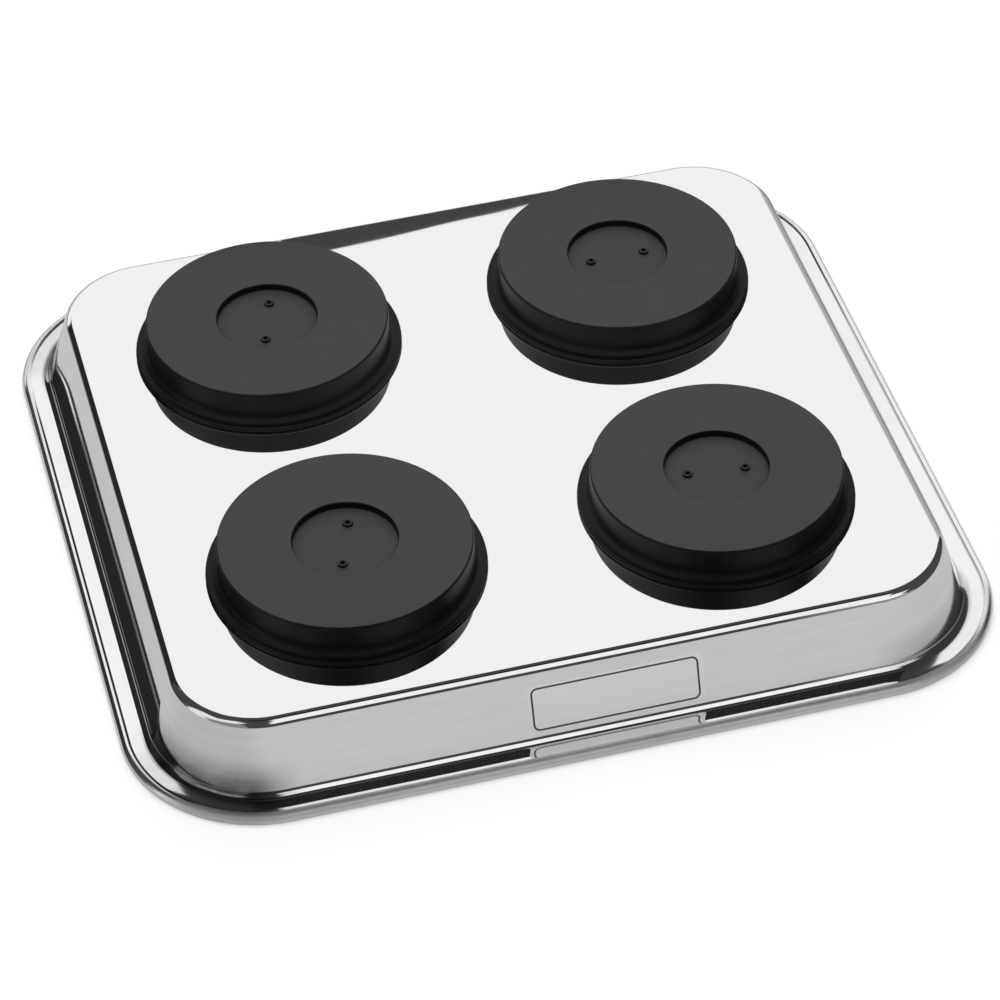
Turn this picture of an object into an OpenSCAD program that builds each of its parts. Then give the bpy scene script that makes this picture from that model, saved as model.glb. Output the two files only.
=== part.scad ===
// Magnetic parts tray with four rubber-covered magnet pads.
// It lies upside down on its rolled rim, so that the pads point up. In use it is turned over.
// Lengths are in millimetres and angles in degrees.
// X runs along the long side, Y to the back and Z up, from the middle of the plane under the rim.

/* [Tray] */
// Overall length over the rolled rim
tray_length = 280; // [250:1:340]
// Overall width over the rolled rim
tray_width = 260; // [230:1:320]
// Height from the foot of the rim to the outer face of the base
tray_depth = 27.5; // [22:0.5:40]
// Corner radius of the rim, outside
corner_radius = 44.5; // [35:0.5:60]
// Thickness of the pressed steel sheet
sheet = 0.8; // [0.5:0.1:1.2]
// Lean of the walls away from the upright
wall_draft = 18; // [8:1:25]
// Outer radius of the bend between the base and the walls
base_bend = 3; // [1.5:0.25:6]
// Radius of the hollow between the walls and the flange
foot_bend = 2.85; // [1:0.05:5]
// Flat width of the flange around the mouth
flange_width = 4.1; // [2:0.1:8]
// Diameter of the rolled rim
rim_bead = 3.8; // [3:0.1:6]
// Height of the rolled rim above the flange
rim_step = 0.45; // [0.2:0.05:0.6]
// Angle that the rim is rolled through
rim_curl = 270; // [200:5:280]

/* [Label] */
// Width of the label film
label_width = 56; // [20:1:100]
// Distance of the label to the right of the middle of the front wall
label_offset = 9; // [-30:1:30]
// Bare wall between the base bend and the label
label_top_gap = 4; // [1:0.25:6]
// Bare wall between the label and the hollow at the foot
label_foot_gap = 1; // [0.2:0.1:4]
// Corner radius of the label film
label_corner = 1; // [0.2:0.1:3]
// Thickness of the label film
label_film = 0.1; // [0.05:0.05:0.3]

/* [Pad places] */
// Distance of each pad from the middle of its quarter of the tray, along the length, inwards
pad_inward_x = 10; // [5:0.5:20]
// Distance of each pad from the middle of its quarter of the tray, along the width, inwards
pad_inward_y = 9; // [6:0.5:17]
// Distance of the four pads behind the middle of the base
pad_shift = 2; // [-4:0.5:4]

/* [Magnet] */
// Diameter of the ring magnet
magnet_diameter = 74; // [60:1:80]
// Diameter of the hole in the ring magnet
magnet_hole = 40; // [32:1:50]
// Height of the ring magnet
magnet_height = 7.3; // [6.5:0.1:12]

/* [Rubber boot] */
// Thickness of the rubber over the magnet
boot_skin = 2; // [1.5:0.1:3]
// Thickness of the rubber around the magnet
boot_wall = 2.7; // [1.8:0.1:4]
// Clearance between the rubber and what it holds
boot_gap = 0.3; // [0.1:0.05:0.6]
// Rounding of the edge of the face
boot_edge = 0.8; // [0.2:0.1:1.5]
// Reach of the foot lip beyond the wall of the boot
lip_reach = 4; // [3:0.25:5]
// Thickness of the foot lip at its edge
lip_edge = 1.6; // [1:0.1:3]
// Radius of the flare between the wall of the boot and the foot lip
lip_flare = 2.5; // [0.5:0.25:2.75]
// Thickness of the rubber that is turned in under the plate
turn_in = 1.2; // [0.8:0.1:2]
// Width of the rubber that is turned in under the plate
turn_in_width = 7; // [3:0.5:12]
// Depth of the round recess in the face
recess_depth = 2.5; // [1:0.1:3]
// Thickness of the rubber under the recess
recess_skin = 1.5; // [1:0.1:2]
// Thickness of the rubber around the recess
recess_wall = 1.6; // [1:0.1:2.5]
// Clearance between the recess and the hole of the magnet
recess_gap = 1.8; // [0.5:0.1:3]
// Diameter of the two nubs in the recess
nub_diameter = 3.2; // [2:0.1:4]
// Height of the nubs
nub_height = 0.9; // [0.4:0.1:0.9]
// Diameter of the pinhole in each nub
nub_pinhole = 1.3; // [0.6:0.1:1.6]
// Distance between the nubs
nub_spacing = 18.4; // [10:0.2:19]

/* [Fixings] */
// Thickness of the steel plate under the magnet
plate_thickness = 2; // [1.5:0.1:3]
// Diameter of the welded stud
stud_diameter = 5; // [4:0.5:6]
// Diameter of the foot of the stud
stud_foot = 7; // [7:0.5:9]
// Thickness of the foot of the stud
stud_foot_height = 0.7; // [0.4:0.1:0.7]
// Length of the stud beyond the nut
stud_tip = 1; // [0.5:0.1:1.2]
// Clearance of the stud in the plate and in the spacer
stud_gap = 0.25; // [0.1:0.05:0.5]
// Clearance of the stud in the nut
thread_gap = 0.05; // [0.02:0.01:0.1]
// Width across the flats of the nut
nut_width = 8; // [7:0.5:10]
// Height of the nut
nut_height = 2.7; // [2:0.1:3]
// Diameter of the spacer between the base and the plate
spacer_diameter = 22; // [14:1:40]

/* [Hidden] */
$fn = 96;
CORNERS = ["front_left", "front_right", "rear_left", "rear_right"];
PIECES = ["boot", "magnet", "plate", "spacer", "stud", "nut"];
// Angle that each boot was turned to when it was fitted, in the order of the corners
boot_turns = [72, -6, 74, 1];

// The section of the pan, from the edge of the flat base outwards
bead_radius = rim_bead / 2;
wall_top_run = base_bend * cos(wall_draft);
wall_top_z = tray_depth - base_bend * (1 - sin(wall_draft));
flange_z = rim_bead - rim_step;
wall_foot_z = flange_z + foot_bend * (1 - sin(wall_draft));
wall_foot_run = wall_top_run + (wall_top_z - wall_foot_z) * tan(wall_draft);
wall_slope = (wall_top_z - wall_foot_z) / cos(wall_draft);
flange_run = wall_foot_run + foot_bend * cos(wall_draft);
flange_end = flange_run + flange_width;
// Angle from the top of the rolled rim to the line where it meets the flange
rim_join = acos((flange_z - bead_radius) / bead_radius);
bead_run = flange_end + bead_radius * sin(rim_join);
rim_run = bead_run + bead_radius;
base_length = tray_length - 2 * rim_run;
base_width = tray_width - 2 * rim_run;
base_corner = corner_radius - rim_run;

// The label lies on the front wall, below the base bend
label_height = wall_slope - label_top_gap - label_foot_gap;

// Each quarter of the tray carries one pad, so the pads move with the size of the tray
pad_spacing_x = tray_length / 2 - 2 * pad_inward_x;
pad_spacing_y = tray_width / 2 - 2 * pad_inward_y;

// The stack of a pad, from the outer face of the base upwards
plate_z = tray_depth + turn_in;
magnet_z = plate_z + plate_thickness;
skin_z = magnet_z + magnet_height;
face_z = skin_z + boot_skin;
recess_z = face_z - recess_depth;
boot_bore = magnet_diameter / 2 + boot_gap;
face_radius = boot_bore + boot_wall;
lip_radius = face_radius + lip_reach;
boot_mouth = magnet_diameter / 2 - turn_in_width;
recess_radius = magnet_hole / 2 - recess_gap - recess_wall;
stud_length = turn_in + plate_thickness + nut_height + stud_tip;

// A strip of sheet bent to an arc around the origin
module arc_strip(inner, outer, from, to) {
    steps = 6;
    reach = 2 * outer;
    intersection() {
        difference() {
            circle(outer);
            circle(inner);
        }
        polygon(concat([[0, 0]], [for (i = [0 : steps])
            let (angle = from + i * (to - from) / steps) reach * [cos(angle), sin(angle)]]));
    }
}

// The space under the outer face of the pan, or under its inner face with a drop of one sheet.
// It runs from the axis of a corner into the sheet of the rolled rim.
module under_skin(drop) {
    normal = [cos(wall_draft), sin(wall_draft)];
    bend_middle = [base_corner, tray_depth - base_bend];
    foot_middle = [base_corner + flange_run, flange_z + foot_bend];
    rim_end = base_corner + flange_end + sheet / 4 + drop;
    translate(bend_middle)
        circle(base_bend - drop);
    difference() {
        polygon([
            [0, -drop],
            [0, tray_depth - drop],
            [base_corner, tray_depth - drop],
            bend_middle + (base_bend - drop) * normal,
            foot_middle - (foot_bend + drop) * normal,
            [foot_middle.x, flange_z - drop],
            [rim_end, flange_z - drop],
            [rim_end, -drop]
        ]);
        translate(foot_middle)
            circle(foot_bend + drop);
    }
}

// Section of the pan from the axis of a corner to the rolled rim
module pan_section() {
    difference() {
        under_skin(0);
        under_skin(sheet);
    }
    translate([base_corner + bead_run, bead_radius])
        arc_strip(bead_radius - sheet, bead_radius, 90 - rim_curl, 90 + rim_join);
}

// One straight side of the pan, on the +X side, with its strip of base
module pan_side(distance, length) {
    translate([distance, length / 2, 0])
        rotate([90, 0, 0])
            linear_extrude(length)
                pan_section();
}

// One round corner of the pan, with its quarter of base
module pan_corner() {
    rotate_extrude(angle = 90)
        pan_section();
}

module tray_pan() {
    straight_x = base_length - 2 * base_corner;
    straight_y = base_width - 2 * base_corner;
    // The middle of the base laps half of the strip along its edges
    plate_x = straight_x + base_corner;
    plate_y = straight_y + base_corner;
    color("gainsboro")
        union() {
            translate([-plate_x / 2, -plate_y / 2, tray_depth - sheet])
                cube([plate_x, plate_y, sheet]);
            for (turn = [0, 180])
                rotate(turn) {
                    pan_side(straight_x / 2, straight_y);
                    rotate(90)
                        pan_side(straight_y / 2, straight_x);
                    translate([straight_x / 2, straight_y / 2, 0])
                        pan_corner();
                    translate([-straight_x / 2, straight_y / 2, 0])
                        rotate(90)
                            pan_corner();
                }
        }
}

// A plate with round corners, standing on the plane z = 0 around the origin
module round_plate(width, height, corner, thickness) {
    cube_x = width - 2 * corner;
    cube_y = height - 2 * corner;
    translate([-width / 2, -cube_y / 2, 0])
        cube([width, cube_y, thickness]);
    translate([-cube_x / 2, -height / 2, 0])
        cube([cube_x, height, thickness]);
    for (x = [-cube_x / 2, cube_x / 2], y = [-cube_y / 2, cube_y / 2])
        translate([x, y, 0])
            cylinder(r = corner, h = thickness);
}

module blank_label() {
    color("lightgray")
        translate([label_offset, -base_width / 2 - wall_top_run, wall_top_z])
            rotate([90 - wall_draft, 0, 0])
                translate([0, -label_top_gap - label_height / 2, 0])
                    round_plate(label_width, label_height, label_corner, label_film);
}

// Moves a piece to the middle of one of the four pads
module at_pad(index) {
    side_x = index % 2 == 0 ? -1 : 1;
    side_y = index < 2 ? -1 : 1;
    translate([side_x * pad_spacing_x / 2, side_y * pad_spacing_y / 2 + pad_shift, 0])
        children();
}

// Half section of the boot's outer form: wall, rounded face edge, foot lip and flare
module boot_outer_section() {
    pad_height = face_z - tray_depth;
    lip_round = lip_edge / 2;
    square([face_radius, pad_height - boot_edge]);
    square([face_radius - boot_edge, pad_height]);
    translate([face_radius - boot_edge, pad_height - boot_edge])
        circle(boot_edge);
    square([lip_radius - lip_round, lip_edge]);
    translate([lip_radius - lip_round, lip_round])
        circle(lip_round);
    difference() {
        translate([face_radius, lip_edge])
            square(lip_flare);
        translate([face_radius + lip_flare, lip_edge + lip_flare])
            circle(lip_flare);
    }
}

// The space in the boot that holds the plate and the magnet, with the rubber left around the recess
module boot_cavity() {
    translate([0, 0, -turn_in])
        cylinder(r = boot_mouth, h = 2 * turn_in);
    difference() {
        translate([0, 0, turn_in])
            cylinder(r = boot_bore, h = plate_thickness + magnet_height);
        translate([0, 0, recess_z - recess_skin - tray_depth])
            cylinder(r = recess_radius + recess_wall, h = face_z - recess_z + recess_skin);
    }
}

// One of the two nubs with a pinhole, rooted in the rubber under the recess
module boot_nub() {
    root = recess_skin / 2;
    difference() {
        translate([0, 0, -root])
            cylinder(d = nub_diameter, h = root + nub_height);
        cylinder(d = nub_pinhole, h = 2 * nub_height);
    }
}

module boot(index) {
    color("dimgray")
        at_pad(index)
            union() {
                translate([0, 0, tray_depth])
                    difference() {
                        rotate_extrude()
                            boot_outer_section();
                        boot_cavity();
                        translate([0, 0, recess_z - tray_depth])
                            cylinder(r = recess_radius, h = 2 * recess_depth);
                    }
                rotate(boot_turns[index])
                    for (x = [-nub_spacing / 2, nub_spacing / 2])
                        translate([x, 0, recess_z])
                            boot_nub();
            }
}

// A round plate with a hole, from height z upwards
module ring(outer, hole, z, height) {
    translate([0, 0, z])
        difference() {
            cylinder(d = outer, h = height);
            translate([0, 0, -height])
                cylinder(d = hole, h = 3 * height);
        }
}

module magnet(index) {
    color("darkslategray")
        at_pad(index)
            ring(magnet_diameter, magnet_hole, magnet_z, magnet_height);
}

module plate(index) {
    color("silver")
        at_pad(index)
            ring(magnet_diameter, stud_diameter + 2 * stud_gap, plate_z, plate_thickness);
}

module spacer(index) {
    color("silver")
        at_pad(index)
            ring(spacer_diameter, stud_foot + 2 * stud_gap, tray_depth, turn_in);
}

module stud(index) {
    color("goldenrod")
        at_pad(index)
            translate([0, 0, tray_depth]) {
                cylinder(d = stud_foot, h = stud_foot_height);
                cylinder(d = stud_diameter, h = stud_length);
            }
}

module nut(index) {
    color("goldenrod")
        at_pad(index)
            translate([0, 0, magnet_z])
                difference() {
                    cylinder(d = nut_width / cos(30), h = nut_height, $fn = 6);
                    translate([0, 0, -nut_height])
                        cylinder(d = stud_diameter + 2 * thread_gap, h = 3 * nut_height);
                }
}

tray_pan();
blank_label();
for (i = [0 : len(CORNERS) - 1]) {
    boot(i);
    magnet(i);
    plate(i);
    spacer(i);
    stud(i);
    nut(i);
}
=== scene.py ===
# %% [markdown]
# # A magnetic parts tray
# This tray is pressed from one sheet of polished stainless steel. It lies upside down on its rolled rim, so
# its four rubber-covered magnet pads point up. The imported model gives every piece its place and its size,
# and this lesson gives the pieces their looks: the pan, the four rubber boots and the label are modelled
# again with finer forms, and the fixings inside the boots keep their shapes and get their own finishes.

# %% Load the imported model
import math

import bmesh
import bpy
from bmesh.types import BMEdge, BMVert
from mathutils import Matrix, Vector


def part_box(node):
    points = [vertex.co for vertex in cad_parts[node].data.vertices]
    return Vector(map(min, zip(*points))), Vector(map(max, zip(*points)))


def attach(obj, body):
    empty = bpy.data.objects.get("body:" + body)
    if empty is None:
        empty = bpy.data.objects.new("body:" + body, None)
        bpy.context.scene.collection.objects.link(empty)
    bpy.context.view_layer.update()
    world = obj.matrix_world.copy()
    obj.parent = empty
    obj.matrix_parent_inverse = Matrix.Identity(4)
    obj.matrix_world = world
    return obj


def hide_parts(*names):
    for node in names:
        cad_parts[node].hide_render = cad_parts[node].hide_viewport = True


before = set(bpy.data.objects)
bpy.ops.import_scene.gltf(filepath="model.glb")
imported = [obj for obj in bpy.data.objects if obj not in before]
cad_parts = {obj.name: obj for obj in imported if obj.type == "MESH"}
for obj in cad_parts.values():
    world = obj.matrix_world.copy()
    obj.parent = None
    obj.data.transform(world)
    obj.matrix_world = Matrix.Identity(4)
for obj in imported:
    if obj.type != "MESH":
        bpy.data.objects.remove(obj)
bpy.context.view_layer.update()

# %% [markdown]
# ## Sizes
# Blender works in metres here, and a workshop drawing in millimetres, so one factor turns one into the
# other. The sizes below are those of the tray's own drawing. A run is a distance outwards from the edge of
# the flat base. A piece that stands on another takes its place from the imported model, so nothing has to be
# fitted by eye.

# %% The sizes of the tray
MM = 0.001
SHEET = 0.8 * MM
TRAY_DEPTH = 27.5 * MM
WALL_DRAFT = math.radians(18)
BASE_BEND = 3 * MM
FOOT_BEND = 2.85 * MM
FLANGE_WIDTH = 4.1 * MM
RIM_RADIUS = 1.9 * MM
RIM_STEP = 0.45 * MM
RIM_CURL = math.radians(270)
CORNER_RADIUS = 44.5 * MM

pan_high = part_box("tray_pan")[1]
wall_top_z = TRAY_DEPTH - BASE_BEND * (1 - math.sin(WALL_DRAFT))
flange_z = 2 * RIM_RADIUS - RIM_STEP
wall_foot_z = flange_z + FOOT_BEND * (1 - math.sin(WALL_DRAFT))
wall_top_run = BASE_BEND * math.cos(WALL_DRAFT)
wall_foot_run = wall_top_run + (wall_top_z - wall_foot_z) * math.tan(WALL_DRAFT)
flange_run = wall_foot_run + FOOT_BEND * math.cos(WALL_DRAFT)
flange_end = flange_run + FLANGE_WIDTH
rim_join = math.acos((flange_z - RIM_RADIUS) / RIM_RADIUS)
bead_run = flange_end + RIM_RADIUS * math.sin(rim_join)
rim_run = bead_run + RIM_RADIUS
base_x = pan_high.x - rim_run
base_y = pan_high.y - rim_run
base_corner = CORNER_RADIUS - rim_run
print(f"flat base {2000 * base_x:.1f} x {2000 * base_y:.1f} mm, corner radius {1000 * base_corner:.1f} mm")

# %% [markdown]
# ## The camera
# The camera stands in front of the tray, a little to the left, and looks down at it from rather far away
# through a long lens. Its place was found by matching the edges of the rim, the base and the pads, so it is
# given as a position and three angles instead of being aimed by eye.

# %% Set up the camera
CAMERA_PLACE = Vector((-228.287, -943.684, 876.034)) * MM
CAMERA_TURN, CAMERA_RISE, CAMERA_ROLL = (math.radians(a) for a in (-13.765, 42.273, -1.706))
IMAGE_WIDTH = 1000
FOCAL_PIXELS = 3986.5
SENSOR_WIDTH = 36


def camera_axes(turn, rise, roll):
    """The camera's right, up and backward directions."""
    back = Vector((math.sin(turn) * math.cos(rise), -math.cos(turn) * math.cos(rise), math.sin(rise)))
    level = Vector((math.cos(turn), math.sin(turn), 0))
    over = back.cross(level)
    right = math.cos(roll) * level + math.sin(roll) * over
    up = math.cos(roll) * over - math.sin(roll) * level
    return right, up, back


camera = bpy.data.objects.new("camera", bpy.data.cameras.new("camera"))
bpy.context.scene.collection.objects.link(camera)
camera.data.sensor_width = SENSOR_WIDTH
camera.data.lens = SENSOR_WIDTH * FOCAL_PIXELS / IMAGE_WIDTH
axes = Matrix(camera_axes(CAMERA_TURN, CAMERA_RISE, CAMERA_ROLL)).transposed()
camera.matrix_world = Matrix.Translation(CAMERA_PLACE) @ axes.to_4x4()
bpy.context.scene.camera = camera
print(f"lens {camera.data.lens:.1f} mm, {CAMERA_PLACE.length:.2f} m away")

# %% [markdown]
# ## Shader maths in Python
# A finish is a tree of nodes, and trees that are wired by hand are hard to read. This small class wraps one
# socket: an expression such as `1 - smudge * 0.2` adds the Math nodes that it needs, and `node` adds any
# other node from its type, its settings and its inputs.

# %% The class for shader maths
class Shade:
    """A socket of a node tree that takes part in Python expressions."""

    def __init__(self, tree, socket=None):
        self.tree = tree
        self.socket = socket

    def node(self, kind, settings=None, inputs=None, output=0):
        """Adds a node: its settings first, then the values or links of its inputs."""
        made = self.tree.nodes.new("ShaderNode" + kind)
        for name, value in (settings or {}).items():
            setattr(made, name, value)
        for name, value in (inputs or {}).items():
            if isinstance(value, Shade):
                self.tree.links.new(value.socket, made.inputs[name])
            else:
                made.inputs[name].default_value = value
        return Shade(self.tree, made.outputs[output]) if made.outputs else None

    def math(self, operation, *values):
        """Adds a Math node for one operation on values or sockets."""
        return self.node("Math", {"operation": operation}, dict(enumerate(values)))

    def __add__(self, other):
        return self.math("ADD", self, other)

    __radd__ = __add__

    def __mul__(self, other):
        return self.math("MULTIPLY", self, other)

    __rmul__ = __mul__

    def __sub__(self, other):
        return self.math("SUBTRACT", self, other)

    def __rsub__(self, other):
        return self.math("SUBTRACT", other, self)


def step(value, low, high):
    """0 below one value and 1 above another, with a soft change between them."""
    return value.node("MapRange", {"interpolation_type": "SMOOTHSTEP"},
                      {"Value": value, "From Min": low, "From Max": high})


def noise(place, scale, detail=3.0, roughness=0.55, stretch=None):
    """Fractal noise from 0 to 1. A stretch below 1 along an axis draws it out into streaks."""
    if stretch:
        place = place.node("VectorMath", {"operation": "MULTIPLY"}, {0: place, 1: stretch})
    return place.node("TexNoise", inputs={
        "Vector": place, "Scale": scale, "Detail": detail, "Roughness": roughness})


def grey(brightness):
    """A grey as a colour with full cover."""
    return (brightness, brightness, brightness, 1)


def new_finish(name):
    """A material with an empty tree, and the tree's first Shade."""
    material = bpy.data.materials.new(name)
    material.use_nodes = True
    material.node_tree.nodes.clear()
    return material, Shade(material.node_tree)


print("shader maths ready")

# %% [markdown]
# ## The studio
# Polished steel has hardly any colour of its own: it shows the room. So the room is made first, as a
# photographer makes it: a white tent all round, a white floor, soft lamps, and black flags outside the
# picture. A flag is what draws the dark lines along the bends of the sheet. The flags are seen only by
# mirror reflections, so they never stand in a picture from another side and cast no shadow.

# %% The white tent and the lamps
TENT_WHITE = 1.0
SOFT_LIGHT = 0.45

bpy.context.scene.view_settings.view_transform = "Standard"
world = bpy.data.worlds.new("tent")
bpy.context.scene.world = world
world.use_nodes = True
world.node_tree.nodes.clear()
tent = Shade(world.node_tree)
seen = tent.node("LightPath", output="Is Camera Ray")
for ray in ("Is Glossy Ray", "Is Transmission Ray"):
    seen = tent.math("MAXIMUM", seen, tent.node("LightPath", output=ray))
strength = SOFT_LIGHT + seen * (TENT_WHITE - SOFT_LIGHT)
background = tent.node("Background", inputs={"Color": grey(1), "Strength": strength})
tent.node("OutputWorld", inputs={"Surface": background})


def soft_lamp(name, place, width, watts):
    """A large square lamp that looks at the tray and isn't mirrored in the steel."""
    lamp = bpy.data.objects.new(name, bpy.data.lights.new(name, "AREA"))
    lamp.data.size = width
    lamp.data.energy = watts
    lamp.location = place
    lamp.rotation_euler = (-Vector(place)).to_track_quat("-Z", "Y").to_euler()
    lamp.visible_glossy = False
    bpy.context.scene.collection.objects.link(lamp)


soft_lamp("lamp_over", place=(-0.5, -0.3, 2.2), width=2.0, watts=17)
soft_lamp("lamp_back", place=(0.6, 1.8, 1.4), width=1.5, watts=10)
print("tent and lamps ready")

# %% [markdown]
# The floor is a plain pale sheet. The camera sees it a little brighter than the lamps make it, so it comes
# out white while the shadow at the rim stays. The steel mirrors the floor as it is lit, and that is what
# makes the front wall a light grey.

# %% The floor
FLOOR_HALF = 8
FLOOR_TONE = 0.76
FLOOR_LIFT = 0.44

floor_mesh = bmesh.new()
bmesh.ops.create_grid(floor_mesh, x_segments=1, y_segments=1, size=FLOOR_HALF)
floor_data = bpy.data.meshes.new("floor")
floor_mesh.to_mesh(floor_data)
floor_mesh.free()
floor = bpy.data.objects.new("floor", floor_data)
bpy.context.scene.collection.objects.link(floor)
floor_finish, shade = new_finish("pale_floor")
lift = shade.node("LightPath", output="Is Camera Ray") * FLOOR_LIFT
floor_shader = shade.node("BsdfPrincipled", inputs={
    "Base Color": grey(FLOOR_TONE), "Roughness": 0.9, "Specular IOR Level": 0.0,
    "Emission Color": lift, "Emission Strength": 1.0})
shade.node("OutputMaterial", inputs={"Surface": floor_shader})
floor_data.materials.append(floor_finish)
print("floor", 2 * FLOOR_HALF, "m wide")

# %% [markdown]
# A flag is a strip of black cloth far outside the picture. A bend along the front mirrors the room along a
# drum about the X axis, and a bend along the left side along a drum about the Y axis. So each flag is an
# edge that is spun about one of these axes, and it darkens the lines of that bend and little else. The
# cloth thins out towards its hem, because a flag near a real tray is out of focus in its reflection.

# %% The cloth of the flags
def flag_cloth(name, tone):
    """A cloth that looks equally dark from all sides and thins out at the hem."""
    cloth, shade = new_finish(name)
    weave = shade.node("Attribute", {"attribute_name": "weave"}, output="Fac")
    glow = shade.node("Emission", inputs={"Color": grey(tone), "Strength": 1.0})
    bare = shade.node("BsdfTransparent")
    cover = shade.node("MixShader", inputs={0: step(weave, 0, 1), 1: bare, 2: glow})
    shade.node("OutputMaterial", inputs={"Surface": cover})
    return cloth


BLACK = flag_cloth("black_cloth", 0.022)
DARK = flag_cloth("dark_cloth", 0.06)
GREY = flag_cloth("grey_cloth", 0.28)
print("cloths", BLACK.name, DARK.name, GREY.name)

# %% [markdown]
# Hanging a cloth means hiding it from everything but mirror reflections, and marking its hem with an
# attribute for the finish above. Each strip hangs on a slightly wider drum than the one before, so that
# no two of them lie in one surface where they overlap.

# %% Cut and hang a flag
FLAG_DISTANCE = 12
FLAG_LAYER = 0.05
FLAG_HEM = 0.03
FLAG_STEPS = 16
flags = []


def hang_flag(name, mesh, cloth, crisp):
    """Makes a stage object of a cloth, which only mirror reflections see."""
    weave = mesh.verts.layers.float.new("weave")
    for vert in mesh.verts:
        vert[weave] = 0 if vert.is_boundary and not crisp else 1
    data = bpy.data.meshes.new(name)
    mesh.to_mesh(data)
    mesh.free()
    flag = bpy.data.objects.new(name, data)
    flags.append(flag)
    data.materials.append(cloth)
    bpy.context.scene.collection.objects.link(flag)
    for ray in ("camera", "diffuse", "transmission", "volume_scatter", "shadow"):
        setattr(flag, "visible_" + ray, False)


def flag_strip(name, cloth, axis, near, far, low, high, tilt=0, hem=FLAG_HEM, crisp=False):
    """A strip on a wide drum about the X or the Y axis.

    near and far are places along the axis, as shares of the distance. low and high are angles that start at
    the horizon in front (for X) or on the left (for Y) and go up over the tray.
    """
    start = Vector((0, -1, 0)) if axis == "X" else Vector((-1, 0, 0))
    along = Vector((1, 0, 0)) if axis == "X" else Vector((0, 1, 0))
    turn = -1 if axis == "X" else 1
    distance = FLAG_DISTANCE + FLAG_LAYER * len(flags)
    mesh = bmesh.new()
    verts = []
    for share in (near, near + hem, far - hem, far):
        lean = tilt * (share - near) / (far - near)
        spot = distance * (start * math.sqrt(1 - share ** 2) + along * share)
        spot.rotate(Matrix.Rotation(turn * math.radians(low + lean), 3, axis))
        verts.append(mesh.verts.new(spot))
    edges = [mesh.edges.new(pair) for pair in zip(verts, verts[1:])]
    bmesh.ops.spin(mesh, geom=verts + edges, axis=along, angle=turn * math.radians(high - low),
                   steps=FLAG_STEPS)
    hang_flag(name, mesh, cloth, crisp)


print("first drum", FLAG_DISTANCE, "m from the tray")

# %% [markdown]
# The names of the flags say where they hang, seen from the camera. Those in front and on top draw the lines
# along the front, those on the left and the right the lines along the sides, and the one at the back leaves
# a dark wedge on the flat base behind the pads.

# %% The black flags
flag_strip("flag_front", DARK, "X", near=-0.1, far=0.27, low=-3, high=34)
flag_strip("flag_front_right", GREY, "X", near=0.23, far=0.86, low=-3, high=25)
flag_strip("flag_front_middle", DARK, "X", near=-0.5, far=0.05, low=-4, high=58, hem=0.1)
flag_strip("flag_front_left", GREY, "X", near=-0.95, far=-0.39, low=-4, high=53)
flag_strip("flag_front_high", DARK, "X", near=-0.38, far=0.1, low=52, high=84, hem=0.1)
flag_strip("flag_top", BLACK, "X", near=-0.2, far=0.47, low=78.5, high=99)
flag_strip("flag_top_left", DARK, "X", near=-0.62, far=-0.09, low=78, high=100)
flag_strip("flag_top_back", DARK, "X", near=-0.72, far=0.47, low=96.5, high=130)
flag_strip("flag_left", BLACK, "Y", near=0.59, far=0.82, low=-5, high=85)
flag_strip("flag_left_front", DARK, "Y", near=0.1, far=0.63, low=-4, high=68)
flag_strip("flag_right", DARK, "Y", near=-0.68, far=0.56, low=136, high=184)
flag_strip("flag_right_top", DARK, "Y", near=-0.46, far=0.58, low=112, high=140)
flag_strip("flag_back", DARK, "X", near=0.13, far=0.215, low=141.07, high=170, tilt=0.25, crisp=True)
flag_strip("flag_back_low", GREY, "X", near=-0.82, far=0.82, low=168.5, high=182)
print("flags hung", len(flags))

# %% [markdown]
# Seen from above or from behind, the flat base would mirror nothing but dark cloth. So a white scrim hangs
# close over the pads, as white as the tent and smaller than the base: the base mirrors the scrim from most
# sides, and the bends along its edges look past the scrim to the flags.

# %% The white scrim
SCRIM_LOW = Vector((-112, -90)) * MM
SCRIM_HIGH = Vector((116, 104)) * MM
SCRIM_HEIGHT = 52 * MM
SCRIM_HEM = 6 * MM

scrim = bmesh.new()
bmesh.ops.create_grid(scrim, x_segments=1, y_segments=1, size=0.5)
bmesh.ops.scale(scrim, verts=scrim.verts[:], vec=(*(SCRIM_HIGH - SCRIM_LOW), 1))
bmesh.ops.translate(scrim, verts=scrim.verts[:], vec=(*(SCRIM_LOW + SCRIM_HIGH) / 2, SCRIM_HEIGHT))
bmesh.ops.inset_region(scrim, faces=scrim.faces[:], thickness=SCRIM_HEM, use_boundary=True,
                       use_even_offset=True)
hang_flag("scrim", scrim, flag_cloth("white_scrim", TENT_WHITE), crisp=False)
print("scrim", SCRIM_HIGH - SCRIM_LOW)

# %% [markdown]
# ## The pan
# The pan is one pressed sheet: a flat base, a bend, a sloped wall, a hollow bend at the foot, a narrow
# flange and a rolled rim. A press makes the same section all the way round, so the section is drawn once as
# a chain of edges, and then swept: extruded along each straight side and spun round each corner. A pen that
# extrudes a vertex along a line, or spins it along an arc, draws the section as it is read on a drawing.

# %% The pen
def only(kind, geometry):
    """The vertices or the edges among what an operator made."""
    return [item for item in geometry if isinstance(item, kind)]


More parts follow.
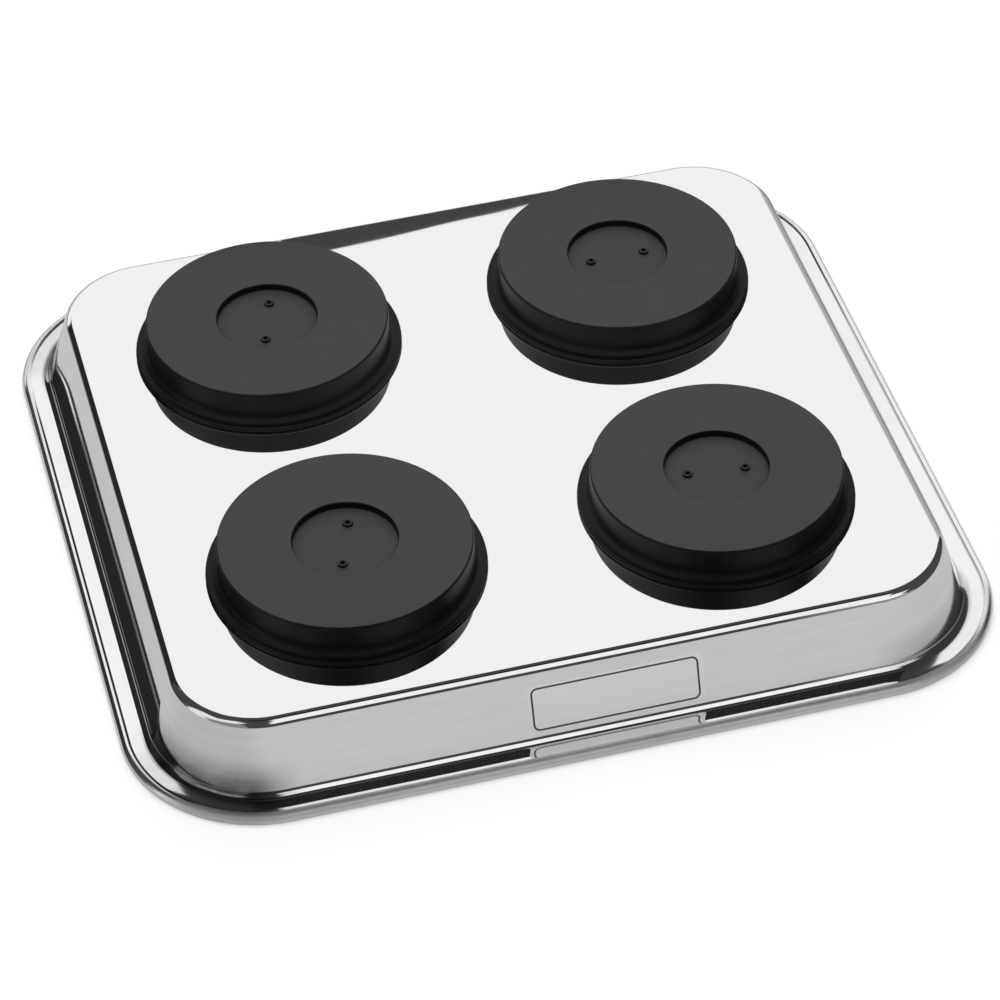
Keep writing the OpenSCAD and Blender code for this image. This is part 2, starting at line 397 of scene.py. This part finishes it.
class Pen:
    """Draws a section in the XZ plane: a vertex extruded along lines and spun along arcs."""

    def __init__(self, mesh, x, z):
        self.mesh = mesh
        self.tip = mesh.verts.new((x, 0, z))

    def line(self, x, z, steps=1):
        """Extrudes the tip to a point, in equal steps."""
        start, end = self.tip.co.copy(), Vector((x, 0, z))
        for i in range(steps):
            self.tip = bmesh.ops.extrude_vert_indiv(self.mesh, verts=[self.tip])["verts"][0]
            self.tip.co = start.lerp(end, (i + 1) / steps)

    def arc(self, x, z, degrees, steps):
        """Spins the tip about a centre. A positive angle turns it clockwise, as seen from the front."""
        made = bmesh.ops.spin(self.mesh, geom=[self.tip], cent=(x, 0, z), axis=(0, 1, 0),
                              angle=math.radians(degrees), steps=steps)
        self.tip = only(BMVert, made["geom_last"])[0]


def make_piece(name, mesh, finish, sharp=50):
    """A finished object at the origin: smooth faces, with the edges above an angle left sharp."""
    data = bpy.data.meshes.new(name)
    mesh.to_mesh(data)
    mesh.free()
    for face in data.polygons:
        face.use_smooth = True
    data.set_sharp_from_angle(angle=math.radians(sharp))
    data.materials.append(finish)
    piece = bpy.data.objects.new(name, data)
    bpy.context.scene.collection.objects.link(piece)
    flat_first = piece.modifiers.new("flat_first", "WEIGHTED_NORMAL")
    flat_first.keep_sharp = True
    print(name, len(data.vertices), "vertices", len(data.polygons), "faces")
    return piece


print("pen ready")

# %% Draw the section of the pan
bend_degrees = 90 - math.degrees(WALL_DRAFT)
pan = bmesh.new()
pen = Pen(pan, base_x, TRAY_DEPTH)
pen.arc(base_x, TRAY_DEPTH - BASE_BEND, bend_degrees, steps=14)
pen.line(base_x + wall_foot_run, wall_foot_z, steps=3)
pen.arc(base_x + flange_run, flange_z + FOOT_BEND, -bend_degrees, steps=12)
pen.line(base_x + flange_end, flange_z, steps=3)
pen.arc(base_x + bead_run, RIM_RADIUS, math.degrees(rim_join + RIM_CURL), steps=36)

straight_x = base_x - base_corner
straight_y = base_y - base_corner
bmesh.ops.translate(pan, verts=pan.verts[:], vec=(0, -straight_y, 0))
print("section of", len(pan.verts), "vertices")

# %% [markdown]
# The section starts at the front end of the right side. It runs along that side, round the rear corner and
# on, until it meets itself again, and there the doubled vertices are welded.

# %% Sweep the section round
CORNER_STEPS = 32
WELD = 0.001 * MM


def sweep_side(mesh, edges, move, steps=4):
    """Extrudes the section along a straight side and gives its last edges."""
    for i in range(steps):
        made = bmesh.ops.extrude_edge_only(mesh, edges=edges)
        verts = only(BMVert, made["geom"])
        bmesh.ops.translate(mesh, verts=verts, vec=Vector(move) / steps)
        edges = [e for e in only(BMEdge, made["geom"]) if all(v in verts for v in e.verts)]
    return edges


def sweep_corner(mesh, edges, x, y):
    """Spins the section a quarter turn round a corner and gives its last edges."""
    verts = list({v for e in edges for v in e.verts})
    made = bmesh.ops.spin(mesh, geom=verts + edges, cent=(x, y, 0), axis=(0, 0, 1),
                          angle=math.pi / 2, steps=CORNER_STEPS)
    return only(BMEdge, made["geom_last"])


section = pan.edges[:]
section = sweep_side(pan, section, (0, 2 * straight_y, 0))
section = sweep_corner(pan, section, straight_x, straight_y)
section = sweep_side(pan, section, (-2 * straight_x, 0, 0))
section = sweep_corner(pan, section, -straight_x, straight_y)
section = sweep_side(pan, section, (0, -2 * straight_y, 0))
section = sweep_corner(pan, section, -straight_x, -straight_y)
section = sweep_side(pan, section, (2 * straight_x, 0, 0))
section = sweep_corner(pan, section, straight_x, -straight_y)
bmesh.ops.remove_doubles(pan, verts=pan.verts[:], dist=WELD)
print("swept faces", len(pan.faces))

# %% [markdown]
# The ring that the sweep leaves is open in the middle. One face fills it, and an inset puts a narrow ring
# of flat faces along its edge: without that ring, smooth shading would bend the mirror of the whole base.
# The sheet gets its thickness last, towards the inside of the tray.

# %% Fill the base and give the sheet its thickness
BASE_RING = 0.4 * MM
LEVEL = 0.01 * MM

open_edges = [e for e in pan.edges if e.is_boundary]
rim_of_base = [e for e in open_edges if min(v.co.z for v in e.verts) > TRAY_DEPTH - LEVEL]
bmesh.ops.edgeloop_fill(pan, edges=rim_of_base)
base_face = max(pan.faces, key=lambda f: f.calc_area())
bmesh.ops.inset_region(pan, faces=[base_face], thickness=BASE_RING, use_even_offset=True)
bmesh.ops.recalc_face_normals(pan, faces=pan.faces[:])
base_face = max(pan.faces, key=lambda f: f.calc_area())
if base_face.normal.z < 0:
    bmesh.ops.reverse_faces(pan, faces=pan.faces[:])
bmesh.ops.solidify(pan, geom=pan.faces[:], thickness=SHEET)
print("open edges", sum(1 for e in pan.edges if e.is_boundary), "top", max(v.co.z for v in pan.verts))

# %% [markdown]
# ### Polished stainless steel
# The press leaves the sheet differently in each place, and most of that depends on how far a point is from
# the flat base. The finish could be painted on an unwrapped sheet, but it is easier to measure: the run is
# worked out from the object coordinates, in the way that the section was swept, and soft steps on the run
# and on the place give a mask for the walls, the corners, the hollow at the foot, the groove beside the rim
# and the rim itself.

# %% Masks on the pan
steel, shade = new_finish("polished_stainless_steel")
place = shade.node("TexCoord", output="Object")
spread = shade.node("VectorMath", {"operation": "ABSOLUTE"}, {0: place})
spread = shade.node("VectorMath", {"operation": "SUBTRACT"}, {0: spread, 1: (straight_x, straight_y, 1)})
beyond = shade.node("VectorMath", {"operation": "MAXIMUM"}, {0: spread, 1: (0, 0, 0)})
run = shade.node("VectorMath", {"operation": "LENGTH"}, {0: beyond}, "Value") - base_corner
spread_x = shade.node("SeparateXYZ", inputs={0: spread}, output="X")
spread_y = shade.node("SeparateXYZ", inputs={0: spread}, output="Y")
corner_depth = shade.math("MINIMUM", spread_x, spread_y)
in_corner = step(corner_depth, 2 * MM, 14 * MM)
round_corner = step(corner_depth, -8 * MM, 10 * MM)
on_side = step(run, 0.2 * MM, 2.5 * MM)
on_rim = step(run, flange_end - 0.1 * MM, flange_end + 0.1 * MM)
place_x = shade.node("SeparateXYZ", inputs={0: place}, output="X")
place_y = shade.node("SeparateXYZ", inputs={0: place}, output="Y")
at_front = step(place_y, -straight_y - 22 * MM, -straight_y - 34 * MM)
# The left side is painted darker in the corners and the hollows: painted shade.
left_side_painted_shade = step(place_x, 60 * MM, -60 * MM)
# A painted dark reflection along the bend on the right.
right_bend_painted_dark = step(place_x, base_x - 0.5 * MM, base_x + 0.5 * MM) * (1 - step(run, 1.4 * MM, 2.8 * MM))
near_foot = step(run, wall_foot_run - 4 * MM, wall_foot_run + 0.4 * MM)
near_foot = near_foot - step(run, wall_foot_run + 2 * MM, flange_run + 1 * MM)
groove = step(run, flange_end - 0.2 * MM, flange_end)
groove = groove - step(run, flange_end + 0.5 * MM, flange_end + 0.8 * MM)
# The groove on the left is painted dark: painted shade.
left_groove_painted_shade = groove * step(place_x, -base_x, -base_x - 5 * MM) * step(place_y, 85 * MM, 55 * MM)
print(f"masks ready, the groove lies {1000 * flange_end:.1f} mm from the base")

# %% [markdown]
# The base stays a mirror. The walls get faint streaks along the press's pull, and the stretched corners
# turn hazy; the corners on the left are also painted darker, as painted shade. The hollow at the foot of the
# corners is painted darker as well, painted shade that is strongest on the left, and the rolling tool leaves
# the rim satin. Use has its share: hands wear the rim duller at the front, where the tray is gripped. The
# bend on the right is painted grey, a painted dark reflection, and the groove on the left is painted dark,
# as painted shade. Each is a small change to the tone or the roughness, and a very low bump lets the mirror
# wave a little, as a pressed sheet does.

# %% The pan's finish
STEEL_TONE = 0.87
MIRROR_ROUGHNESS = 0.005
WAVE_HEIGHT = 0.012 * MM

smudge = noise(place, scale=40.0, detail=4.0, roughness=0.6)
streak = noise(place, scale=420.0, detail=4.0, roughness=0.65, stretch=(0.06, 0.06, 1))
blotch = noise(place, scale=130.0, detail=3.0, roughness=0.6)
# The hollow at the foot of the corners is painted darker: painted shade, patchy, strongest on the left.
foot_painted_shade = near_foot * round_corner * (0.7 + blotch * 0.6)
haze = in_corner * on_side
# Painted shade darkens the left corners, the hollows at the feet and the left groove; a painted dark
# reflection darkens the right bend.
tone = STEEL_TONE - on_side * (streak - 0.5) * 0.16 - haze * (blotch * 0.06 + left_side_painted_shade * 0.1)
tone = tone - foot_painted_shade * (0.3 + left_side_painted_shade * 0.28) - on_rim * 0.03 - right_bend_painted_dark * 0.5 - left_groove_painted_shade * 0.72
warm = shade.node("VectorMath", {"operation": "SCALE"}, {
    0: (0.01, -0.002, -0.008), "Scale": on_side * blotch})
steel_colour = shade.node("VectorMath", {"operation": "ADD"}, {0: tone, 1: warm})
rim_wear = 0.06 + streak * 0.1 + at_front * 0.4
steel_rough = MIRROR_ROUGHNESS + smudge * 0.008 + on_side * 0.02
steel_rough = steel_rough + haze * (0.03 + blotch * 0.12) + on_rim * rim_wear
waves = noise(place, scale=22.0, detail=1.0) * 0.6 + on_side * (streak * 0.02 + blotch * 0.06)
steel_waves = shade.node("Bump", inputs={"Strength": 1.0, "Distance": WAVE_HEIGHT, "Height": waves})
steel_shader = shade.node("BsdfPrincipled", inputs={
    "Base Color": steel_colour, "Metallic": 1.0, "Roughness": steel_rough, "Normal": steel_waves})
shade.node("OutputMaterial", inputs={"Surface": steel_shader})

tray = make_piece("tray", pan, steel)
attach(tray, "root")
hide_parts("tray_pan")

# %% [markdown]
# ## The rubber boots
# Each magnet sits in a boot of moulded rubber. The mould was turned on a lathe, so the boot is a section
# that is spun about its own axis: a face with a round recess, a wall, a flare, a foot lip, and the edge
# that is turned in under the steel plate, with the space for the magnet inside.

# %% Draw the section of a boot
FACE_HEIGHT = 12.5 * MM
FACE_RADIUS = 40 * MM
FACE_EDGE = 0.8 * MM
LIP_RADIUS = 44 * MM
LIP_EDGE = 1.6 * MM
LIP_FLARE = 2.5 * MM
RECESS_RADIUS = 16.6 * MM
RECESS_FLOOR = 10 * MM
RECESS_EDGE = 0.35 * MM
RECESS_BACK = 8.5 * MM
RECESS_WALL = 1.6 * MM
TURN_IN = 1.2 * MM
MOUTH_RADIUS = 30 * MM
BORE_RADIUS = 37.3 * MM
BORE_TOP = 10.5 * MM
TURN_STEPS = 96


def boot_section(mesh):
    """The chain from the middle of the recess, over the outside, to the axis again on the inside."""
    pen = Pen(mesh, 0, RECESS_FLOOR)
    pen.line(RECESS_RADIUS - RECESS_EDGE, RECESS_FLOOR, steps=4)
    pen.arc(RECESS_RADIUS - RECESS_EDGE, RECESS_FLOOR + RECESS_EDGE, -90, steps=4)
    pen.line(RECESS_RADIUS, FACE_HEIGHT - RECESS_EDGE)
    pen.arc(RECESS_RADIUS + RECESS_EDGE, FACE_HEIGHT - RECESS_EDGE, 90, steps=4)
    pen.line(FACE_RADIUS - FACE_EDGE, FACE_HEIGHT, steps=4)
    pen.arc(FACE_RADIUS - FACE_EDGE, FACE_HEIGHT - FACE_EDGE, 90, steps=6)
    pen.line(FACE_RADIUS, LIP_EDGE + LIP_FLARE, steps=2)
    pen.arc(FACE_RADIUS + LIP_FLARE, LIP_EDGE + LIP_FLARE, -90, steps=8)
    pen.line(LIP_RADIUS - LIP_EDGE / 2, LIP_EDGE)
    pen.arc(LIP_RADIUS - LIP_EDGE / 2, LIP_EDGE / 2, 180, steps=10)
    pen.line(MOUTH_RADIUS, 0, steps=2)
    pen.line(MOUTH_RADIUS, TURN_IN)
    pen.line(BORE_RADIUS, TURN_IN)
    pen.line(BORE_RADIUS, BORE_TOP)
    pen.line(RECESS_RADIUS + RECESS_WALL, BORE_TOP)
    pen.line(RECESS_RADIUS + RECESS_WALL, RECESS_BACK)
    pen.line(0, RECESS_BACK)


def turn_boot():
    """Spins the section into a boot that stands on z = 0."""
    mesh = bmesh.new()
    boot_section(mesh)
    bmesh.ops.spin(mesh, geom=mesh.verts[:] + mesh.edges[:], axis=(0, 0, 1), angle=2 * math.pi,
                   steps=TURN_STEPS, use_merge=True)
    bmesh.ops.remove_doubles(mesh, verts=mesh.verts[:], dist=WELD)
    bmesh.ops.recalc_face_normals(mesh, faces=mesh.faces[:])
    return mesh


trial = turn_boot()
print("boot faces", len(trial.faces), "open edges", sum(1 for e in trial.edges if e.is_boundary))
trial.free()

# %% [markdown]
# Two nubs with a pinhole stand in each recess. A nub starts as a short round bar that is rooted in the
# rubber; its top is inset and pushed down for the pinhole, and a bevel rounds its edges.

# %% Make the nubs
NUB_RADIUS = 1.6 * MM
NUB_HEIGHT = 0.9 * MM
NUB_ROOT = 0.6 * MM
NUB_EDGE = 0.25 * MM
NUB_SIDES = 32
PINHOLE_RADIUS = 0.65 * MM
NUB_APART = 18.4 * MM


def add_nub(mesh, x):
    """A nub with a pinhole at a distance from the boot's axis."""
    middle = Matrix.Translation((x, 0, RECESS_FLOOR + (NUB_HEIGHT - NUB_ROOT) / 2))
    made = bmesh.ops.create_cone(mesh, cap_ends=True, segments=NUB_SIDES, radius1=NUB_RADIUS,
                                 radius2=NUB_RADIUS, depth=NUB_HEIGHT + NUB_ROOT, matrix=middle)
    faces = list({f for v in made["verts"] for f in v.link_faces})
    top = max(faces, key=lambda f: f.calc_center_median().z)
    outer_edges = top.edges[:]
    bmesh.ops.inset_region(mesh, faces=[top], thickness=NUB_RADIUS - PINHOLE_RADIUS)
    made = bmesh.ops.extrude_discrete_faces(mesh, faces=[top])
    floor_of_hole = made["faces"][0]
    bmesh.ops.translate(mesh, verts=floor_of_hole.verts[:], vec=(0, 0, -NUB_HEIGHT))
    bmesh.ops.bevel(mesh, geom=outer_edges, offset=NUB_EDGE, offset_type="OFFSET", segments=3, profile=0.5,
                    affect="EDGES", material=-1)


print(f"nub {2000 * NUB_RADIUS:.1f} mm across")

# %% [markdown]
# ### Moulded rubber
# The sides of a boot are smooth black rubber. The face has lain on benches and is scuffed, and its dull dark
# grey is partly that wear and partly painted sheen: every face that looks up is painted lighter, with a fine
# grain and the faint rings that the lathe left in the mould. So each boot carries two attributes for its
# finish: how far a point looks up, and its distance from the axis for the rings.

# %% The rubber's finish
RUBBER_TONE = 0.004
SCUFF_AND_SHEEN_TONE = 0.0545
RING_PITCH = 0.9 * MM

rubber, shade = new_finish("moulded_black_rubber")
place = shade.node("TexCoord", output="Object")
looks_up = shade.node("Attribute", {"attribute_name": "looks_up"}, output="Fac")
from_axis = shade.node("Attribute", {"attribute_name": "from_axis"}, output="Fac")
# Faces that look up are painted lighter grey: partly scuff wear, partly painted sheen.
scuff_and_sheen = step(looks_up, 0.86, 0.99) * (1 - step(from_axis, FACE_RADIUS, LIP_RADIUS - 2 * LIP_EDGE))
rings = shade.math("SINE", from_axis * (2 * math.pi / RING_PITCH)) * 0.5 + 0.5
grain = noise(place, scale=1500.0, detail=3.0, roughness=0.65)
patch = noise(place, scale=160.0, detail=4.0, roughness=0.6)
face_mottle = 0.7 + grain * 0.25 + patch * 0.25 + rings * 0.06
rubber_tone = RUBBER_TONE + scuff_and_sheen * face_mottle * SCUFF_AND_SHEEN_TONE
rubber_relief = grain + rings * 0.15 + patch * 0.3
rubber_bump = shade.node("Bump", inputs={"Strength": 0.35, "Distance": 0.06 * MM, "Height": rubber_relief})
rubber_shader = shade.node("BsdfPrincipled", inputs={
    "Base Color": rubber_tone, "Roughness": 0.36 + scuff_and_sheen * 0.2 + grain * 0.08, "Specular IOR Level": 0.15,
    "Normal": rubber_bump})
shade.node("OutputMaterial", inputs={"Surface": rubber_shader})
print("rubber of", len(rubber.node_tree.nodes), "nodes")

# %% [markdown]
# All four boots come out of one mould, but they are pushed on by hand, so their nubs don't line up: each
# boot is turned about its axis by its own angle. The attributes are written before that, while the axis of
# the boot is still the Z axis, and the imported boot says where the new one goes.

# %% Turn the four boots
BOOT_TURNS = {"front_left": 72, "front_right": -6, "rear_left": 74, "rear_right": 1}
for corner, turn in BOOT_TURNS.items():
    low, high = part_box("boot_" + corner)
    mesh = turn_boot()
    for x in (-NUB_APART / 2, NUB_APART / 2):
        add_nub(mesh, x)
    axis_layer = mesh.verts.layers.float.new("from_axis")
    up_layer = mesh.verts.layers.float.new("looks_up")
    mesh.normal_update()
    for vert in mesh.verts:
        vert[axis_layer] = vert.co.xy.length
        vert[up_layer] = vert.normal.z
    bmesh.ops.rotate(mesh, verts=mesh.verts[:], matrix=Matrix.Rotation(math.radians(turn), 3, "Z"))
    bmesh.ops.translate(mesh, verts=mesh.verts[:], vec=((low.x + high.x) / 2, (low.y + high.y) / 2, low.z))
    boot = make_piece("rubber_boot_" + corner, mesh, rubber, sharp=40)
    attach(boot, "root")
    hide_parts("boot_" + corner)

# %% [markdown]
# ## The label
# A blank film label with a thin printed border sticks to the front wall. It could be a mere patch of colour
# on the steel, but a real film has an edge that catches the light. So a flat grid gets round corners and
# the thickness of the film, and one matrix lays it on the slope of the wall.

# %% Cut the label and lay it on the wall
LABEL_WIDTH = 56 * MM
LABEL_FILM = 0.1 * MM
LABEL_CORNER = 1 * MM
LABEL_TOP_GAP = 4 * MM
LABEL_FOOT_GAP = 1 * MM
label_low, label_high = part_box("blank_label")
label_height = (wall_top_z - wall_foot_z) / math.cos(WALL_DRAFT) - LABEL_TOP_GAP - LABEL_FOOT_GAP
label_middle = (label_low.x + label_high.x) / 2

film = bmesh.new()
bmesh.ops.create_grid(film, x_segments=1, y_segments=1, size=0.5)
bmesh.ops.scale(film, verts=film.verts[:], vec=(LABEL_WIDTH, label_height, 1))
bmesh.ops.bevel(film, geom=film.verts[:], offset=LABEL_CORNER, offset_type="OFFSET", segments=6,
                profile=0.5, affect="VERTICES", material=-1)
made = bmesh.ops.extrude_face_region(film, geom=film.faces[:])
bmesh.ops.translate(film, verts=only(BMVert, made["geom"]), vec=(0, 0, LABEL_FILM))
bmesh.ops.recalc_face_normals(film, faces=film.faces[:])
lay = Matrix.Translation((label_middle, -base_y - wall_top_run, wall_top_z))
lay = lay @ Matrix.Rotation(math.pi / 2 - WALL_DRAFT, 4, "X")
lay = lay @ Matrix.Translation((0, -LABEL_TOP_GAP - label_height / 2, 0))
bmesh.ops.transform(film, verts=film.verts[:], matrix=lay)
print(f"label {1000 * LABEL_WIDTH:.1f} x {1000 * label_height:.1f} mm")

# %% [markdown]
# The border is ink, so it has no height of its own. A picture of it would blur close up, so the finish
# measures the distance to a round-cornered rectangle in the plane of the film and darkens a thin line there.

# %% The label's finish
BORDER_SIZE = Vector((52.6, 14.1)) * MM
BORDER_CORNER = 1.9 * MM
BORDER_SHIFT = -0.25 * MM
BORDER_LINE = 0.6 * MM
BORDER_DOWN = 12.05 * MM

film_finish, shade = new_finish("silver_label_film")
place = shade.node("TexCoord", output="Object")
across = shade.node("SeparateXYZ", inputs={0: place}, output="X") - (label_middle + BORDER_SHIFT)
rise = shade.node("SeparateXYZ", inputs={0: place}, output="Z") - wall_top_z
down = rise * (-1 / math.cos(WALL_DRAFT)) - BORDER_DOWN
reach_x = shade.math("MAXIMUM", shade.math("ABSOLUTE", across) - (BORDER_SIZE.x / 2 - BORDER_CORNER), 0.0)
reach_y = shade.math("MAXIMUM", shade.math("ABSOLUTE", down) - (BORDER_SIZE.y / 2 - BORDER_CORNER), 0.0)
reach = shade.math("SQRT", reach_x * reach_x + reach_y * reach_y)
ink = 1 - step(shade.math("ABSOLUTE", reach - BORDER_CORNER), 0.4 * BORDER_LINE, 0.6 * BORDER_LINE)
fibre = noise(place, scale=500.0, detail=3.0, roughness=0.6, stretch=(0.15, 1, 1))
film_tone = (0.94 + fibre * 0.06) * (1 - ink * 0.95)
film_shader = shade.node("BsdfPrincipled", inputs={
    "Base Color": film_tone, "Metallic": 0.1, "Roughness": 0.3 + fibre * 0.15, "Specular IOR Level": 0.4})
shade.node("OutputMaterial", inputs={"Surface": film_shader})
label = make_piece("label", film, film_finish)
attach(label, "root")
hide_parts("blank_label")

# %% [markdown]
# ## The fixings inside the boots
# A ring magnet, a steel plate, a spacer, a stud and a nut sit in each boot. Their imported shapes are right,
# so they stay, and only get finishes: sintered ferrite with a fine speckle, cold-rolled steel with rolling
# lines, and bright zinc with a faint bloom.

# %% Ferrite for the magnets
ferrite, shade = new_finish("sintered_ferrite")
place = shade.node("TexCoord", output="Object")
speckle = noise(place, scale=2200.0, detail=2.0)
ferrite_bump = shade.node("Bump", inputs={"Strength": 0.2, "Distance": 0.05 * MM, "Height": speckle})
ferrite_shader = shade.node("BsdfPrincipled", inputs={
    "Base Color": 0.04 + speckle * 0.04, "Roughness": 0.45 + speckle * 0.2, "Normal": ferrite_bump})
shade.node("OutputMaterial", inputs={"Surface": ferrite_shader})
print("ferrite of", len(ferrite.node_tree.nodes), "nodes")

# %% Rolled steel for the plates and the spacers
rolled_steel, shade = new_finish("cold_rolled_steel")
place = shade.node("TexCoord", output="Object")
rolling = noise(place, scale=900.0, detail=3.0, roughness=0.6, stretch=(0.05, 1, 1))
rolled_shader = shade.node("BsdfPrincipled", inputs={
    "Base Color": 0.44 + rolling * 0.12, "Metallic": 1.0, "Roughness": 0.28 + rolling * 0.2})
shade.node("OutputMaterial", inputs={"Surface": rolled_shader})
print("rolled steel of", len(rolled_steel.node_tree.nodes), "nodes")

# %% Zinc for the studs and the nuts
ZINC_COLOUR = (0.68, 0.69, 0.72)
zinc, shade = new_finish("bright_zinc")
place = shade.node("TexCoord", output="Object")
bloom = noise(place, scale=600.0, detail=3.0, roughness=0.6)
zinc_tone = 0.9 + bloom * 0.2
zinc_colour = shade.node("VectorMath", {"operation": "SCALE"}, {0: ZINC_COLOUR, "Scale": zinc_tone})
zinc_shader = shade.node("BsdfPrincipled", inputs={
    "Base Color": zinc_colour, "Metallic": 1.0, "Roughness": 0.22 + bloom * 0.2})
shade.node("OutputMaterial", inputs={"Surface": zinc_shader})
print("zinc of", len(zinc.node_tree.nodes), "nodes")

# %% Give the fixings their finishes
FIXINGS = {"magnet": ferrite, "plate": rolled_steel, "spacer": rolled_steel, "stud": zinc, "nut": zinc}
fixings = [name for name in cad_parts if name.split("_")[0] in FIXINGS]
for name in fixings:
    for material_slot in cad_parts[name].material_slots:
        material_slot.material = FIXINGS[name.split("_")[0]]
print("fixings", len(fixings))
